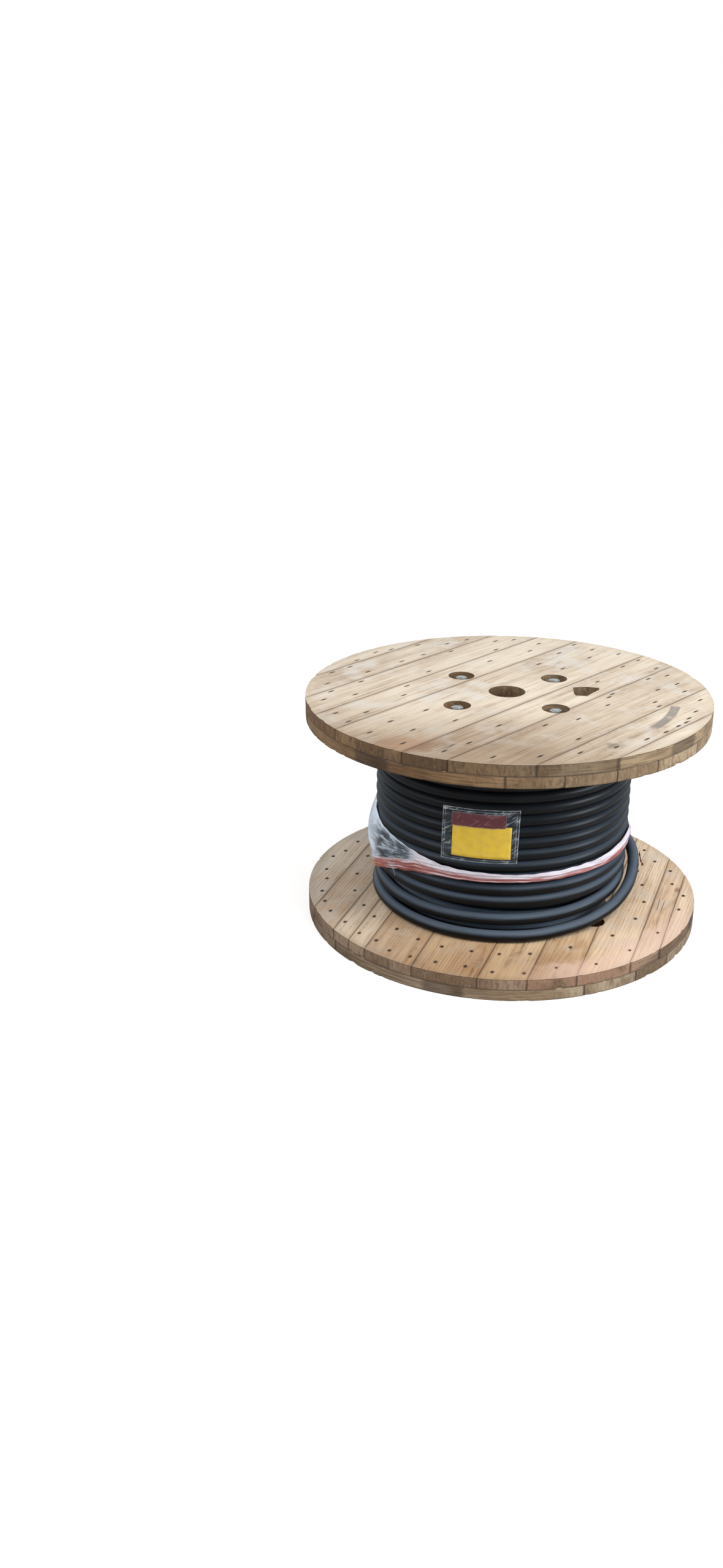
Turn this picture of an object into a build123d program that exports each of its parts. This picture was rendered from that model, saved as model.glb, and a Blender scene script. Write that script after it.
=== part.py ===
"""A wooden cable drum standing on one flange, with two layers of black power cable wound on it.

Z is up, the underside of the bottom flange is Z = 0 and the drum's axis is the Z axis.
The side that faces the viewer is -Y. Angles round the drum start there and grow towards +X.
All sizes are in millimetres.
"""
import os
from math import cos, degrees, pi, radians, sin, tan

from build123d import *

# Flanges: each is two crossed plies of nailed boards
flange_diameter = 900.0
ply_thickness = 25.0
seam_gap = 1.2
spindle_hole_diameter = 82.0

# Widths of each ply's boards on this flange, across the grain; on another flange they share its width alike
bottom_outer_widths = [85.0, 95.0, 96.0, 96.0, 144.0, 96.0, 96.0, 96.0, 96.0]
bottom_inner_widths = [87.0, 80.0, 48.0, 46.0, 118.0, 143.0, 99.0, 93.0, 95.0, 48.0, 43.0]
top_inner_widths = [60.0, 95.0, 95.0, 140.0, 144.0, 99.0, 96.0, 81.0, 90.0]
top_outer_widths = [53.0, 96.0, 95.0, 94.0, 189.0, 95.0, 144.0, 96.0, 38.0]

# Barrel between the flanges
inner_width = 425.0
barrel_diameter = 480.0
stave_count = 24
stave_thickness = 22.0
stave_gap = 1.0
former_thickness = 25.0
former_clearance = 0.3

# Tie rods through the barrel
rod_count = 4
rod_diameter = 16.0
rod_circle_diameter = 300.0
rod_hole_clearance = 1.0
recess_diameter = 60.0
recess_depth = 20.0
washer_width = 40.0
washer_thickness = 3.0
nut_across_flats = 24.0
nut_height = 13.0
nut_clearance = 0.15
rod_past_nut = 1.5

# Cable
cable_diameter = 26.0
layer_count = 2
packed_turns = 13
loose_turns_room = 3
pack_clearance = 0.3
sagged_turn_drop = 17.0
inner_turns_showing = 4
turn_sides = 8
rest_clearance = 0.3
last_turn_clearance = 3.4

# Cap shrunk on the cable's outer end
cap_wall = 2.0
cap_length = 56.0
cap_overlap = 36.0
cap_clearance = 0.2
cap_lift = 3.0

# Stretch film round the winding
film_thickness = 1.6
film_clearance = 1.4
film_crown = 0.4
film_step = 10

# Document pouch and the card in it
pouch_width = 165.0
pouch_height = 122.0
pouch_thickness = 2.0
pouch_wall = 0.6
pouch_margin = 4.0
pouch_angle = -9.0
pouch_bottom = 237.0
card_width = 127.0
card_height = 76.0
card_thickness = 0.4
card_lift = 9.0

# Drive hole, broken out along the grain of the top flange: its outline from its own centre, seen from above
drive_hole_outline = [(-29, 26), (-28, -16), (-24, -31), (1, -32), (9, -17), (29, 16), (30, 29), (1, 34)]
drive_hole_from_staves = 39.0
drive_hole_angle = 96.0

# Hole for the cable's inner end, bored in the bottom flange beside the barrel
cable_hole_diameter = 50.0
cable_hole_from_barrel = 8.0
cable_hole_angle = 51.0

# Places that follow from the sizes above
flange_radius = flange_diameter / 2
flange_thickness = 2 * ply_thickness
top_flange_z = flange_thickness + inner_width
drum_height = top_flange_z + flange_thickness
barrel_radius = barrel_diameter / 2
cable_radius = cable_diameter / 2
layer_rise = cable_diameter * cos(radians(30))
winding_bore_radius = barrel_radius + pack_clearance
inner_turn_radius = winding_bore_radius + cable_radius
outer_turn_radius = inner_turn_radius + (layer_count - 1) * layer_rise
winding_radius = outer_turn_radius + cable_radius
rod_circle_radius = rod_circle_diameter / 2
half_stave_angle = radians(180 / stave_count)
stave_face_radius = barrel_radius * cos(half_stave_angle)
stave_inner_radius = stave_face_radius - stave_thickness
drive_hole_radius = stave_inner_radius - drive_hole_from_staves
cable_hole_radius = barrel_radius + cable_hole_from_barrel + cable_hole_diameter / 2


def plan_point(angle, radius):
    """A point of the drum's plan at an angle from the front, growing towards +X."""
    return (radius * sin(radians(angle)), -radius * cos(radians(angle)))


rod_points = [plan_point(45 + 360 / rod_count * i, rod_circle_radius) for i in range(rod_count)]
drive_hole_centre = plan_point(drive_hole_angle, drive_hole_radius)
drive_hole_corners = [(drive_hole_centre[0] + x, drive_hole_centre[1] + y) for x, y in drive_hole_outline]
cable_hole_centre = plan_point(cable_hole_angle, cable_hole_radius)

# Each ply: its name, its lowest Z, the direction of its grain, its boards' widths and whether it is outermost
plies = [
    ("bottom_outer", 0.0, -14.0, bottom_outer_widths, True),
    ("bottom_inner", ply_thickness, 76.0, bottom_inner_widths, False),
    ("top_inner", top_flange_z, -36.5, top_inner_widths, False),
    ("top_outer", top_flange_z + ply_thickness, 53.5, top_outer_widths, True),
]

os.makedirs("parts", exist_ok=True)


def save(piece, name):
    piece.part.label = name
    export_step(piece.part, f"parts/{name}.step")


def across(point, grain_angle):
    """A point of the drum's plan, in a ply's own axes: across the grain, then along it."""
    c, s = cos(radians(grain_angle)), sin(radians(grain_angle))
    return (point[0] * s - point[1] * c, point[0] * c + point[1] * s)


def ply_plane(grain_angle, z):
    c, s = cos(radians(grain_angle)), sin(radians(grain_angle))
    return Plane(origin=(0, 0, z), x_dir=(s, -c, 0), z_dir=(0, 0, 1))


def radial_plane(angle):
    """The upright plane through the axis at this angle, with X outwards and Y up."""
    a = radians(angle)
    return Plane(origin=(0, 0, 0), x_dir=(sin(a), -cos(a), 0), z_dir=(-cos(a), -sin(a), 0))


def round_drum(angle, radius, z):
    a = radians(angle)
    return Vector(radius * sin(a), -radius * cos(a), z)


def board(name, z, grain_angle, left, right, outer):
    """One flange board between two seams, given as distances from the axis, with the holes that cross it."""
    with BuildPart() as piece:
        with BuildSketch(ply_plane(grain_angle, z)):
            Circle(flange_radius)
            with Locations(((left + right) / 2, 0)):
                Rectangle(right - left, flange_diameter, mode=Mode.INTERSECT)
            Circle(spindle_hole_diameter / 2, mode=Mode.SUBTRACT)
            with Locations(*[across(p, grain_angle) for p in rod_points]):
                Circle(rod_diameter / 2 + rod_hole_clearance, mode=Mode.SUBTRACT)
            if name.startswith("top"):
                Polygon(*[across(p, grain_angle) for p in drive_hole_corners], align=None, mode=Mode.SUBTRACT)
            else:
                with Locations(across(cable_hole_centre, grain_angle)):
                    Circle(cable_hole_diameter / 2, mode=Mode.SUBTRACT)
        extrude(amount=ply_thickness)
        if outer:
            recess_z = 0.0 if name.startswith("bottom") else drum_height - recess_depth
            with BuildSketch(ply_plane(grain_angle, recess_z)):
                with Locations(*[across(p, grain_angle) for p in rod_points]):
                    Circle(recess_diameter / 2)
            extrude(amount=recess_depth, mode=Mode.SUBTRACT)
    save(piece, name)


def build_flanges():
    for ply_name, z, grain_angle, widths, outer in plies:
        share = flange_diameter / sum(widths)
        left = -flange_radius
        for i, width in enumerate(widths):
            right = left + width * share
            board(f"{ply_name}_board_{i + 1:02d}", z, grain_angle, left, right - seam_gap, outer)
            left = right


def build_barrel():
    face_half = stave_face_radius * tan(half_stave_angle) - stave_gap / 2
    inner_half = stave_inner_radius * tan(half_stave_angle) - stave_gap / 2
    corners = [
        (stave_inner_radius, -inner_half),
        (stave_face_radius, -face_half),
        (stave_face_radius, face_half),
        (stave_inner_radius, inner_half),
    ]
    with BuildPart() as staves:
        with BuildSketch(Plane.XY.offset(flange_thickness)):
            with PolarLocations(0, stave_count):
                Polygon(*corners, align=None)
        extrude(amount=inner_width)
    save(staves, "barrel_staves")

    former_places = {
        "barrel_former_bottom": flange_thickness,
        "barrel_former_top": top_flange_z - former_thickness,
    }
    for name, z in former_places.items():
        with BuildPart() as former:
            with BuildSketch(Plane.XY.offset(z)):
                Circle(stave_inner_radius - former_clearance)
                Circle(spindle_hole_diameter / 2, mode=Mode.SUBTRACT)
                with Locations(*rod_points):
                    Circle(rod_diameter / 2 + rod_hole_clearance, mode=Mode.SUBTRACT)
                if name.endswith("top"):
                    Polygon(*drive_hole_corners, align=None, mode=Mode.SUBTRACT)
            extrude(amount=former_thickness)
        save(former, name)


def build_tie_rods():
    rod_bottom = recess_depth - washer_thickness - nut_height - rod_past_nut
    with BuildPart() as rods:
        with BuildSketch(Plane.XY.offset(rod_bottom)):
            with Locations(*rod_points):
                Circle(rod_diameter / 2)
        extrude(amount=drum_height - 2 * rod_bottom)
    save(rods, "tie_rods")

    washer_z = [recess_depth - washer_thickness, drum_height - recess_depth]
    with BuildPart() as washers:
        for z in washer_z:
            with BuildSketch(Plane.XY.offset(z)):
                with Locations(*rod_points):
                    Rectangle(washer_width, washer_width)
                    Circle(rod_diameter / 2 + nut_clearance, mode=Mode.SUBTRACT)
            extrude(amount=washer_thickness)
    save(washers, "tie_rod_washers")

    nut_z = [recess_depth - washer_thickness - nut_height, drum_height - recess_depth + washer_thickness]
    with BuildPart() as nuts:
        for z in nut_z:
            with BuildSketch(Plane.XY.offset(z)):
                with Locations(*rod_points):
                    RegularPolygon(radius=nut_across_flats / 2, side_count=6, major_radius=False)
                    Circle(rod_diameter / 2 + nut_clearance, mode=Mode.SUBTRACT)
            extrude(amount=nut_height)
    save(nuts, "tie_rod_nuts")


def build_winding():
    """The wound cable, one turned solid whose outside shows its turns, each as the flats of an octagon."""
    half_flat = cable_radius * tan(pi / turn_sides)
    pitch = inner_width / (packed_turns + loose_turns_room)
    packed_bottom = top_flange_z - pitch * packed_turns
    turn_flats = [
        (half_flat, pitch / 2),
        (cable_radius, half_flat),
        (cable_radius, -half_flat),
        (half_flat, -pitch / 2),
    ]
    packed_places = [(outer_turn_radius, top_flange_z - pitch * (i + 0.5)) for i in range(packed_turns)]
    sagged_place = (outer_turn_radius, packed_bottom - pitch / 2 - sagged_turn_drop)
    inner_places = [
        (inner_turn_radius, flange_thickness + pitch * (i + 0.5)) for i in range(inner_turns_showing)
    ]
    with BuildPart() as winding:
        with BuildSketch(Plane.XZ):
            with Locations((winding_bore_radius, flange_thickness)):
                Rectangle(cable_radius + half_flat, inner_width, align=(Align.MIN, Align.MIN))
            with Locations((winding_bore_radius, packed_bottom)):
                packed_depth = outer_turn_radius + half_flat - winding_bore_radius
                Rectangle(packed_depth, pitch * packed_turns, align=(Align.MIN, Align.MIN))
            with Locations(*packed_places, *inner_places):
                Polygon(*turn_flats, align=None)
            with Locations(sagged_place):
                RegularPolygon(cable_radius, turn_sides, major_radius=False, rotation=180 / turn_sides)
        revolve(axis=Axis.Z)
    save(winding, "wound_cable")


# The loose last turn: angle, radius and height of each point of its route
lying_height = flange_thickness + cable_radius + rest_clearance
leaving_radius = winding_radius + cable_radius + last_turn_clearance
last_turn_route = [
    (165, leaving_radius, 160.0),
    (150, leaving_radius, 158.5),
    (134, leaving_radius, 157.0),
    (119, leaving_radius, 155.0),
    (105, 306.0, 150.0),
    (91, 308.5, 135.0),
    (77, 307.5, 110.0),
    (63, 304.5, 86.0),
    (49, 298.0, 69.0),
    (35, 294.0, lying_height),
    (11, 298.5, lying_height),
    (-19, 301.0, lying_height),
    (-49, 299.5, lying_height),
    (-79, 296.0, lying_height),
    (-109, 295.5, lying_height + cap_lift / 6),
    (-132, 294.0, lying_height + cap_lift / 2),
    (-152, 292.0, lying_height + cap_lift),
]
run_share = 0.45


def build_last_turn():
    points = [round_drum(a, r, z) for a, r, z in last_turn_route]
    radii = []
    for before, here, after in zip(points, points[1:], points[2:]):
        turn = radians((here - before).get_angle(after - here))
        shorter = min((here - before).length, (after - here).length)
        radii.append(run_share * shorter / tan(turn / 2))
    with BuildPart() as last_turn:
        with BuildLine():
            route = FilletPolyline(*points, radius=radii)
        with BuildSketch(Plane(origin=route @ 0, z_dir=route % 0)):
            Circle(cable_radius)
        sweep(path=route)
    swept_share = last_turn.part.volume / (pi * cable_radius**2 * route.length)
    print("last turn: length", round(route.length, 1), "tightest bend", round(min(radii), 1))
    print("its volume over its section times its length", round(swept_share, 5))
    save(last_turn, "loose_last_turn")

    end, direction = route @ 1, route % 1
    sleeve_radius = cable_radius + cap_clearance
    with BuildPart() as cap:
        with BuildSketch(Plane(origin=end - direction * cap_overlap, z_dir=direction)):
            Circle(sleeve_radius + cap_wall)
        extrude(amount=cap_length)
        with BuildSketch(Plane(origin=end - direction * cap_overlap, z_dir=direction)):
            Circle(sleeve_radius)
        extrude(amount=cap_overlap + cap_clearance, mode=Mode.SUBTRACT)
        fillet(cap.faces().sort_by(Axis((0, 0, 0), tuple(direction)))[-1].edges(), radius=cable_radius / 2)
    save(cap, "cable_end_cap")


# The film: angle, lower edge, upper edge and how far its middle stands off the winding
film_stations = [
    (-180, 196.0, 222.0, 0.0),
    (-150, 160.0, 232.0, 2.0),
    (-120, 116.0, 250.0, 8.0),
    (-90, 104.0, 264.0, 17.0),
    (-70, 122.0, 244.0, 10.0),
    (-50, 165.0, 236.0, 2.0),
    (-30, 186.0, 218.0, 0.0),
    (0, 193.0, 214.0, 0.0),
    (30, 195.0, 217.0, 0.0),
    (60, 198.0, 222.0, 0.0),
    (80, 216.0, 234.0, 0.0),
    (120, 222.0, 240.0, 0.0),
    (150, 212.0, 234.0, 0.0),
    (180, 196.0, 222.0, 0.0),
]


def film_at(angle):
    """Lower edge, upper edge and stand-off of the film at an angle, between the stations."""
    for before, after in zip(film_stations, film_stations[1:]):
        if before[0] <= angle <= after[0]:
            share = (angle - before[0]) / (after[0] - before[0])
            return [b + (a - b) * share for b, a in zip(before[1:], after[1:])]


def build_film():
    """Clear stretch film, twisted to a band in front and opening to a sheet on the left."""
    inner = winding_radius + film_clearance
    with BuildPart() as film:
        for first, last in ((-180, 0), (0, 180)):
            for angle in range(first, last + 1, film_step):
                low, high, stand_off = film_at(angle)
                stand_off += film_crown
                middle = (low + high) / 2
                section = [
                    (inner, low),
                    (inner + film_thickness, low),
                    (inner + film_thickness + stand_off, middle),
                    (inner + film_thickness, high),
                    (inner, high),
                    (inner + stand_off, middle),
                ]
                with BuildSketch(radial_plane(angle)):
                    Polygon(*section, align=None)
            loft(ruled=True)
    save(film, "stretch_film")


def round_plate(name, start, width, bottom, height, inner, thickness, pocket=None):
    """A thin plate bent round the winding, as a short piece of a turned ring."""
    arc = degrees(width / inner)
    with BuildPart() as plate:
        with BuildSketch(radial_plane(start)):
            with Locations((inner + thickness / 2, bottom + height / 2)):
                Rectangle(thickness, height)
            if pocket:
                with Locations((inner + thickness / 2, bottom + pouch_margin + height / 2)):
                    Rectangle(pocket, height, mode=Mode.SUBTRACT)
        revolve(axis=Axis.Z, revolution_arc=arc)
    save(plate, name)


def build_pouch():
    inner = winding_radius + pack_clearance
    half = degrees(pouch_width / inner) / 2
    card_half = degrees(card_width / inner) / 2
    round_plate("document_pouch", pouch_angle - half, pouch_width, pouch_bottom, pouch_height, inner,
                pouch_thickness, pouch_thickness - 2 * pouch_wall)
    card_inner = inner + (pouch_thickness - card_thickness) / 2
    round_plate("yellow_card", pouch_angle - card_half, card_width, pouch_bottom + pouch_margin + card_lift,
                card_height, card_inner, card_thickness)


build_flanges()
build_barrel()
build_tie_rods()
build_winding()
build_last_turn()
build_film()
build_pouch()
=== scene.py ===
"""Looks for a wooden cable drum: worn boards, nails, wound cable, stretch film, and a pouch with a card.

Lengths are metres in the frame's axes. Angles round the drum are degrees from its front, -Y, towards +X.
"""
import math
import random

import bmesh
import bpy
import numpy as np
from mathutils import Matrix, Vector, noise
from mathutils.geometry import delaunay_2d_cdt


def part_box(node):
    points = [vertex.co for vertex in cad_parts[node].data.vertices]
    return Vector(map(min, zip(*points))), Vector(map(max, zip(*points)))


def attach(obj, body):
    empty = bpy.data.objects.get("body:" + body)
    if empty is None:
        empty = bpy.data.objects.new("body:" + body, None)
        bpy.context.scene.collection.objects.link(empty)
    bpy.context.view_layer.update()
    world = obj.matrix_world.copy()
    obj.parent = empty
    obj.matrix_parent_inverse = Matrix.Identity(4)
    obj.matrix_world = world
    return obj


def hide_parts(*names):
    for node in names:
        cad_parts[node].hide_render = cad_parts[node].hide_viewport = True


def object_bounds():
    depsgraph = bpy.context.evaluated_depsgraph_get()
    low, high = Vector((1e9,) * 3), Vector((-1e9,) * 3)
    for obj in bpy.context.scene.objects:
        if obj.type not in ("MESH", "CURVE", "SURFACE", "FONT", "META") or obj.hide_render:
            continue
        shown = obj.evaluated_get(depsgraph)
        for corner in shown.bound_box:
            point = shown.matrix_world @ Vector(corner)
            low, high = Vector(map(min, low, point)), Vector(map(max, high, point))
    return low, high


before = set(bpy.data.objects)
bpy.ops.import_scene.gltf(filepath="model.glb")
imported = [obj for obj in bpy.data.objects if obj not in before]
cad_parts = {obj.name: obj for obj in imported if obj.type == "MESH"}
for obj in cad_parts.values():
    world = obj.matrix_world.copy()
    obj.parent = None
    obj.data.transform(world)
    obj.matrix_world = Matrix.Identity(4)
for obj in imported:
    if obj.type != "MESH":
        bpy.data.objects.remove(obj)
cad_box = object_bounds()
MM = 0.001

# Sizes read from the frame
low_corner, high_corner = (Vector(c) for c in cad_box)
flange_radius = (high_corner.x - low_corner.x) / 2
drum_height = high_corner.z
ply_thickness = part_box("bottom_outer_board_05")[1].z
lower_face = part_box("bottom_inner_board_05")[1].z
upper_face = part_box("top_inner_board_05")[0].z

cable_radius = 13 * MM


def round_drum(angle, radius, z):
    """A point at an angle round the drum's axis."""
    a = math.radians(angle)
    return Vector((radius * math.sin(a), -radius * math.cos(a), z))


def wobble(x, y, z):
    """Smooth noise from -1 to 1."""
    return noise.noise(Vector((x, y, z)))


def add_object(name, data):
    made = bpy.data.objects.new(name, data)
    bpy.context.collection.objects.link(made)
    return made


# Camera, at the photograph's viewing angle: its turns in degrees about its own axes, one after another
camera_place = (0, -2881.8 * MM, 1476 * MM)
camera_turns = ((6.48, "Z"), (67.72, "X"), (-0.15, "Z"))
camera_lens = 30.97


def build_camera():
    camera = add_object("camera", bpy.data.cameras.new("camera"))
    camera.data.lens = camera_lens
    camera.data.clip_end = 60
    camera.matrix_world = Matrix.Translation(camera_place)
    for angle, axis in camera_turns:
        camera.matrix_world = camera.matrix_world @ Matrix.Rotation(math.radians(angle), 4, axis)
    bpy.context.scene.camera = camera


build_camera()


# Node trees: arithmetic on a Wire adds Math nodes, and node() adds any other node. A colour of three
# numbers is in eight-bit screen values.
def linear(colour):
    shares = [c / 255 for c in colour]
    return (*[s / 12.92 if s <= 0.04045 else ((s + 0.055) / 1.055) ** 2.4 for s in shares], 1)


class Wire:
    """An output socket of a shader or geometry tree."""

    def __init__(self, tree, socket=None):
        self.tree, self.socket = tree, socket

    def node(self, kind, settings=None, sockets=None, output=0):
        made = self.tree.nodes.new(kind)
        for name, value in (settings or {}).items():
            setattr(made, name, value)
        for key, value in (sockets or {}).items():
            if isinstance(value, Wire):
                self.tree.links.new(value.socket, made.inputs[key])
            elif isinstance(value, tuple) and len(value) == 3:
                made.inputs[key].default_value = linear(value)
            else:
                made.inputs[key].default_value = value
        return Wire(self.tree, made.outputs[output] if made.outputs else None)

    def math(self, operation, *values):
        return self.node("ShaderNodeMath", {"operation": operation}, dict(enumerate(values)))

    def __abs__(self):
        return self.math("ABSOLUTE", self)

    def __add__(self, other):
        return self.math("ADD", self, other)

    def __sub__(self, other):
        return self.math("SUBTRACT", self, other)

    def __rsub__(self, other):
        return self.math("SUBTRACT", other, self)

    def __mul__(self, other):
        return self.math("MULTIPLY", self, other)

    def __truediv__(self, other):
        return self.math("DIVIDE", self, other)

    def __pow__(self, other):
        return self.math("POWER", self, other)

    __radd__, __rmul__ = __add__, __mul__


def blend(a, b, share, way="MIX"):
    """Colour a where share is 0 and b where it is 1."""
    settings = {"data_type": "RGBA", "blend_type": way}
    return share.node("ShaderNodeMix", settings, {0: share, 6: a, 7: b}, output=2)


def tint(a, b, share):
    """Colour a multiplied by b, as far as share."""
    return blend(a, b, share, "MULTIPLY")


def ease(value, low, high):
    """0 below low and 1 above high, with a smooth step between; low may be the larger one."""
    settings = {"interpolation_type": "SMOOTHSTEP"}
    return value.node("ShaderNodeMapRange", settings, {"Value": value, "From Min": low, "From Max": high})


def smudge(place, scale, detail=2.0, roughness=0.5):
    """Noise from 0 to 1, about 0.5, with its features at 1 / scale."""
    sockets = {"Vector": place, "Scale": scale, "Detail": detail, "Roughness": roughness}
    return place.node("ShaderNodeTexNoise", {}, sockets)


def vector(x, y, z):
    """One vector of three numbers, of which one at least is a Wire."""
    made = next(v for v in (x, y, z) if isinstance(v, Wire))
    return made.node("ShaderNodeCombineXYZ", {}, {0: x, 1: y, 2: z})


def stretched(x, y, z, detail=3.0, roughness=0.6):
    """Noise from 0 to 1 at coordinates that are scaled already, each by its own amount."""
    return smudge(vector(x, y, z), 1.0, detail, roughness)


def mask_of(base, name):
    """A number that the mesh's points carry under a name."""
    return base.node("ShaderNodeAttribute", {"attribute_name": name}, output=2)


def new_material(name):
    """The wire that a new material's nodes start from."""
    material = bpy.data.materials.new(name)
    material.use_nodes = True
    material.node_tree.nodes.clear()
    base = Wire(material.node_tree)
    base.material = material
    return base


def finish_material(base, colour, roughness, height=None, lift=0.001, bump=1.0, **sockets):
    """Joins a principled shader, with a bump where there is a height, to the output; gives the material."""
    sockets = {name.replace("_", " "): value for name, value in sockets.items()}
    sockets.update({"Base Color": colour, "Roughness": roughness})
    if height is not None:
        relief = {"Height": height, "Distance": lift, "Strength": bump}
        sockets["Normal"] = base.node("ShaderNodeBump", {}, relief)
    shader = base.node("ShaderNodeBsdfPrincipled", {}, sockets)
    base.node("ShaderNodeOutputMaterial", {}, {"Surface": shader})
    return base.material


def parts_of(base):
    """The object coordinates as one vector and as three numbers."""
    place = base.node("ShaderNodeTexCoord", output=3)
    return place, *[base.node("ShaderNodeSeparateXYZ", {}, {0: place}, output=i) for i in range(3)]


# Wood
ring_spacing = 6.2 * MM


class BoardWood:
    """The coordinates and noises that one ply's wood is made from."""

    def __init__(self, name, grain_angle, ply_low):
        self.base = new_material(name)
        self.ply_low = ply_low
        _, x, y, z = parts_of(self.base)
        s, c = math.sin(math.radians(grain_angle)), math.cos(math.radians(grain_angle))
        across, along = x * s - y * c, x * c + y * s
        self.x, self.y, self.z, self.across, self.along = x, y, z, across, along
        masks = [mask_of(self.base, f"board_{n}") for n in ("seed", "left", "right")]
        self.seed, self.left, self.right = masks
        self.radius = self.base.math("SQRT", x * x + y * y)
        # Each board is cut from another log, so its noises start elsewhere
        seed = self.seed
        self.fibre = stretched(along * 9 + seed * 5, across * 330, z * 330, 3.0, 0.65)
        self.streak = stretched(along * 2.4 + seed * 8, across * 42, z * 42)
        grown = vector(along + seed * 7.3, across + seed * 3.1, z + seed * 1.7)
        self.cloud = smudge(grown, 4.0, 3.0, 0.55)
        self.patch = smudge(grown, 15.0, 4.0, 0.62)
        self.speck = smudge(grown, 120.0, 2.0, 0.6)


def growth_rings(w):
    """The dark late wood of the rings, round a centre that each board has for itself."""
    sway = stretched(w.along * 1.6 + w.seed * 9, w.across * 9, w.z * 9, 2.0, 0.5)
    pith_across = (w.left + w.right) * 0.5 + (w.seed - 0.5) * 0.16
    pith_depth = w.z - w.ply_low + 0.022 + w.along * (w.seed - 0.45) * 0.16
    ring_radius = w.base.math("SQRT", (w.across - pith_across) ** 2 + pith_depth ** 2) + sway * 0.02
    return (w.base.math("SINE", ring_radius * (2 * math.pi / ring_spacing)) * 0.5 + 0.5) ** 3


def round_knots(w):
    """A few dark knots."""
    place = vector(w.along * 3.0 + w.seed * 21, w.across * 5.0 + w.seed * 13, 0.0)
    far = w.base.node("ShaderNodeTexVoronoi", {}, {"Vector": place, "Scale": 1.0, "Randomness": 0.8})
    return ease(far + (w.patch - 0.5) * 0.04, 0.07, 0.035)


def drying_checks(w):
    """Short thin cracks that open along the grain."""
    line = stretched(w.along * 1.1 + w.seed * 3, w.across * 30, 0.0, 0.0, 0.5)
    return ease(abs(line - 0.5), 0.012, 0.003) * ease(w.cloud, 0.60, 0.66)


def face_tone(w, tones, worn_share, rings, knots, checks):
    """Pale and deep streaks with grey wear, rings, fibres, knots and checks."""
    pale, deep, worn_grey = tones
    wood = blend(pale, deep, ease(w.streak * 0.5 + w.cloud * 0.5 + (w.seed - 0.5) * 0.14, 0.38, 0.64))
    wood = tint(wood, (196, 170, 140), rings * 0.4 * ease(w.cloud, 0.35, 0.6))
    wood = tint(wood, (186, 166, 146), ease(w.fibre, 0.48, 0.72) * 0.6)
    wood = blend(wood, worn_grey, ease(w.patch * 0.6 + w.cloud * 0.4, 0.49, 0.6) * worn_share)
    wood = tint(wood, (160, 142, 124), ease(w.speck * 0.45 + w.streak * 0.55, 0.56, 0.65) * 0.28)
    wood = tint(wood, (150, 108, 80), knots * 0.85)
    return tint(wood, (120, 98, 80), checks * 0.8)


def face_dirt(w, wood, seam, grime):
    """Dirt at the seams and nails, and a rubbed edge."""
    wood = tint(wood, (120, 98, 80), grime * 0.6)
    wood = tint(wood, (196, 180, 162), ease(seam + (w.streak - 0.5) * 0.03, 0.010, 0.001) * 0.32)
    wood = tint(wood, (74, 58, 48), ease(mask_of(w.base, "stain") + (w.fibre - 0.5) * 0.3, 0.1, 0.8))
    edge = ease(w.radius + (w.patch - 0.5) * 0.04, flange_radius - 22 * MM, flange_radius - 2 * MM)
    return blend(wood, (176, 158, 134), edge * 0.45)


def rim_tone(w, tones, wear, grime):
    """The rim's tone and roughness: end grain where it crosses the grain, long grain elsewhere."""
    long_grain, end_grain = tones
    crossing = ease(abs(w.along) / w.radius, 0.35, 0.85)
    scratches = stretched(w.x * 120, w.y * 120, w.z * 40, 4.0, 0.7)
    lying = stretched(w.x * 14, w.y * 14, w.z * 300)
    rough = scratches * crossing + lying * (1 - crossing)
    rim = blend(long_grain, end_grain, crossing)
    rim = tint(rim, (166, 148, 130), ease(rough, 0.42, 0.66) * 0.75)
    rim = tint(rim, (192, 176, 156), ease(w.cloud, 0.42, 0.58) * 0.8)
    rim = blend(rim, (184, 166, 142), ease(w.cloud * 0.4 + rough * 0.6, 0.58, 0.66) * 0.5)
    rim = wear(rim, w)
    to_face = w.base.math("MINIMUM", w.z - w.ply_low, w.ply_low + ply_thickness - w.z)
    rim = tint(rim, (84, 68, 54), ease(to_face + (scratches - 0.5) * 0.003, 0.0022, 0.0003) * 0.7)
    return tint(rim, (90, 72, 58), grime * 0.6), rough


def no_wear(wood, w):
    return wood


def sawn_wood(name, grain_angle, ply_low, face_tones, worn_share, rim_tones, face_wear_and_shade, rim_wear):
    """Weathered sawn boards with dirt at their seams and nails, and a rough rim."""
    w = BoardWood(name, grain_angle, ply_low)
    rings, knots, checks = growth_rings(w), round_knots(w), drying_checks(w)
    seam = w.base.math("MINIMUM", w.across - w.left, w.right - w.across)
    grime = ease(seam + (w.fibre - 0.5) * 0.002, 0.0022, 0.0004)
    face = face_dirt(w, face_tone(w, face_tones, worn_share, rings, knots, checks), seam, grime)
    rim, rough = rim_tone(w, rim_tones, rim_wear, grime)
    normal = w.base.node("ShaderNodeNewGeometry", output=1)
    upright = abs(w.base.node("ShaderNodeSeparateXYZ", {}, {0: normal}, output=2))
    side = ease(upright, 0.75, 0.4)
    face_relief = w.fibre * 0.5 + rings * 0.2 - checks * 1.2 + w.patch * 0.5 + w.speck * 0.4 - knots * 0.3
    rim_relief = rough * 1.8 + w.patch * 1.2 + w.speck * 0.8
    height = face_relief * (1 - side) + rim_relief * side
    colour = blend(face_wear_and_shade(face, w), rim, side)
    return finish_material(w.base, colour, 0.76 + w.fibre * 0.14, height, 0.9 * MM)


def away_from(w, x, y, stretch=1):
    """The distance from a point of the face, counted stretch times in y squared."""
    return w.base.math("SQRT", (w.x - x) ** 2 + (w.y - y) ** 2 * stretch)


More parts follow.
